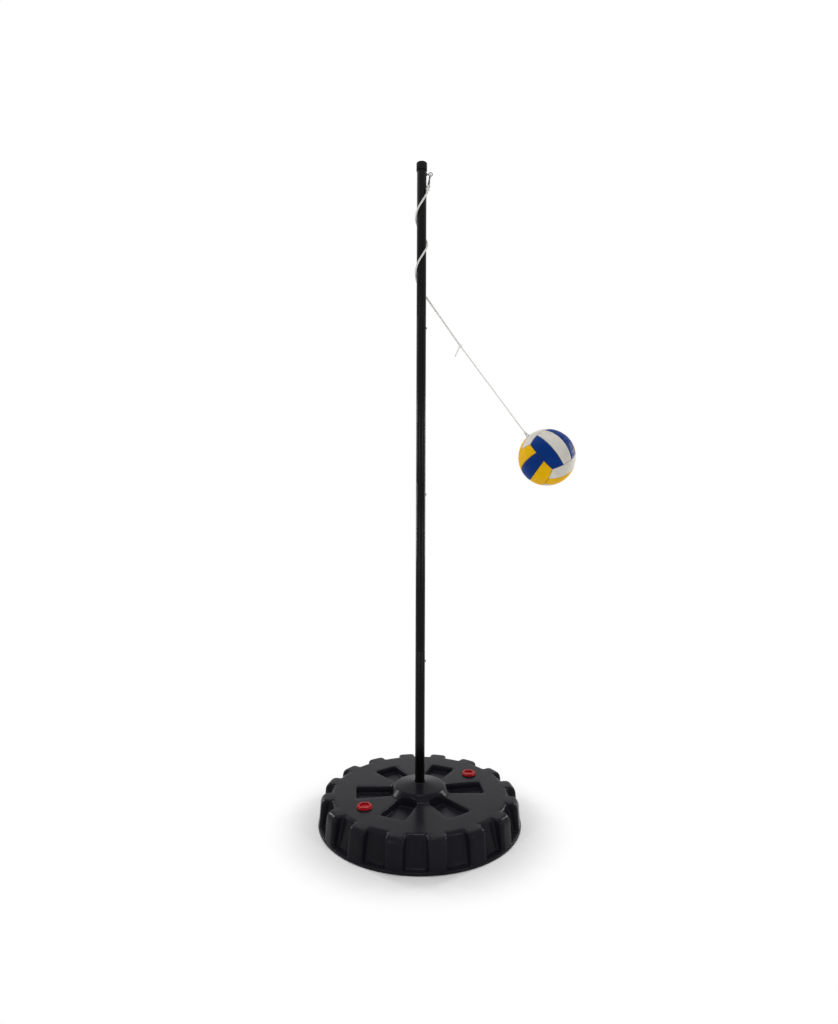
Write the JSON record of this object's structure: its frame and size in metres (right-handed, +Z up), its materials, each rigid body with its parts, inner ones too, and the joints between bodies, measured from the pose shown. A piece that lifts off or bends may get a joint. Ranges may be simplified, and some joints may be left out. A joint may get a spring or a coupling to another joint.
{
  "type": "portable tetherball set",
  "caption": "Black sectional steel pole in a round lobed, fillable plastic base, with a blue, white and yellow volleyball on a white rope from a swivel snap near the top.",
  "frame": {"origin": "on the floor under the base, at the pole's axis", "axes": "+Z up along the pole, +X towards the side where the ball hangs out on its rope, the pictured side faces -Y"},
  "size_m": [0.9316, 0.728, 2.388],
  "materials": {
    "tank": "satin blow-moulded polyethylene",
    "cap": "moulded, slightly glossy",
    "rubber": "matt",
    "trim": "moulded",
    "pole": "black powder coat, semi-gloss",
    "plated_steel": "dull zinc plate",
    "spring_steel": "bright",
    "rope": "braided cord",
    "carcass": "wound thread in latex",
    "ball_blue": "soft grained composite",
    "ball_white": "soft grained composite",
    "ball_yellow": "soft grained composite"
  },
  "bodies": {
    "base": {"tank": "tank"},
    "washer_left": {"filler_seal_left": "rubber"},
    "washer_right": {"filler_seal_right": "rubber"},
    "cap_left": {"filler_cap_left": "cap"},
    "cap_right": {"filler_cap_right": "cap"},
    "pole": {"foot_plug": "trim", "pole_section_1": "pole", "pole_section_2": "pole", "pole_section_3": "pole", "pole_section_4": "pole", "top_cap": "trim", "button_spring_1": "spring_steel", "button_spring_2": "spring_steel", "button_spring_3": "spring_steel", "rivet_nut": "plated_steel", "eye_lock_nut": "plated_steel", "eye_bolt": "plated_steel", "rope_winding": "rope"},
    "button_1": {"snap_button_1": "plated_steel"},
    "button_2": {"snap_button_2": "plated_steel"},
    "button_3": {"snap_button_3": "plated_steel"},
    "hook": {"snap_hook_body": "plated_steel", "snap_bolt_spring": "spring_steel"},
    "bolt": {"snap_bolt": "plated_steel"},
    "swivel": {"swivel_eye": "plated_steel", "rope_end_knot": "rope"},
    "orbit": {"rope_turnoff": "rope"},
    "string": {"rope_upper": "rope", "mid_knot": "rope", "knot_tail": "rope", "ball_cord": "rope", "ball_knot": "rope"},
    "ball": {"bladder": "rubber", "carcass": "carcass", "panels_blue": "ball_blue", "panels_white": "ball_white", "panels_yellow": "ball_yellow", "valve": "rubber", "eyelet_cup": "rubber", "eyelet_bar": "plated_steel"}
  },
  "joints": [
    {"name": "washer_lift_left", "type": "slide", "parent": "base", "child": "washer_left", "axis": [0, 0, 1], "range_m": [0, 0.016]},
    {"name": "cap_turn_left", "type": "hinge", "parent": "washer_left", "child": "cap_left", "pos_m": [-0.18931, -0.13754, 0.1065], "axis": [0, 0, 1], "range_deg": [0, 1440]},
    {"name": "washer_lift_right", "type": "slide", "parent": "base", "child": "washer_right", "axis": [0, 0, 1], "range_m": [0, 0.016]},
    {"name": "cap_turn_right", "type": "hinge", "parent": "washer_right", "child": "cap_right", "pos_m": [0.18931, 0.13754, 0.1065], "axis": [0, 0, 1], "range_deg": [0, 1440]},
    {"name": "pole_lift", "type": "slide", "parent": "base", "child": "pole", "axis": [0, 0, 1], "range_m": [0, 0.13]},
    {"name": "button_press_1", "type": "slide", "parent": "pole", "child": "button_1", "axis": [-1, 0, 0], "range_m": [0, 0.005], "stiffness_N_per_m": 1500, "springref_m": -0.003, "deforming": ["button_spring_1"]},
    {"name": "button_press_2", "type": "slide", "parent": "pole", "child": "button_2", "axis": [-1, 0, 0], "range_m": [0, 0.005], "stiffness_N_per_m": 1500, "springref_m": -0.003, "deforming": ["button_spring_2"]},
    {"name": "button_press_3", "type": "slide", "parent": "pole", "child": "button_3", "axis": [-1, 0, 0], "range_m": [0, 0.005], "stiffness_N_per_m": 1500, "springref_m": -0.003, "deforming": ["button_spring_3"]},
    {"name": "hook_swing", "type": "hinge", "parent": "pole", "child": "hook", "pos_m": [0.032, 0, 2.347], "axis": [0, -1, 0], "range_deg": [0, 25], "deforming": ["rope_winding"]},
    {"name": "bolt_slide", "type": "slide", "parent": "hook", "child": "bolt", "axis": [-0.1547, -0.2382, -0.9588], "range_m": [0, 0.006], "stiffness_N_per_m": 150, "springref_m": -0.004, "deforming": ["snap_bolt_spring"]},
    {"name": "swivel_turn", "type": "hinge", "parent": "hook", "child": "swivel", "pos_m": [0.02659, -0.00834, 2.31344], "axis": [-0.1547, -0.2382, -0.9588], "continuous": true},
    {"name": "tether_orbit", "type": "hinge", "parent": "pole", "child": "orbit", "pos_m": [0, 0, 1.932], "axis": [0, 0, 1], "range_deg": [-180, 180], "deforming": ["rope_winding"]},
    {"name": "tether_swing", "type": "hinge", "parent": "orbit", "child": "string", "pos_m": [0, 0.0212, 1.932], "axis": [0, -1, 0], "range_deg": [-27.5, 53], "deforming": ["rope_turnoff"]},
    {"name": "ball_tilt", "type": "hinge", "parent": "string", "child": "ball", "pos_m": [0.39872, 0.0212, 1.39165], "axis": [0, 1, 0], "range_deg": [-25, 25]}
  ],
  "couplings": [
    {"joint": "washer_lift_left", "follows": "cap_turn_left", "m_per_rad": 0.00063662},
    {"joint": "washer_lift_right", "follows": "cap_turn_right", "m_per_rad": 0.00063662}
  ]
}
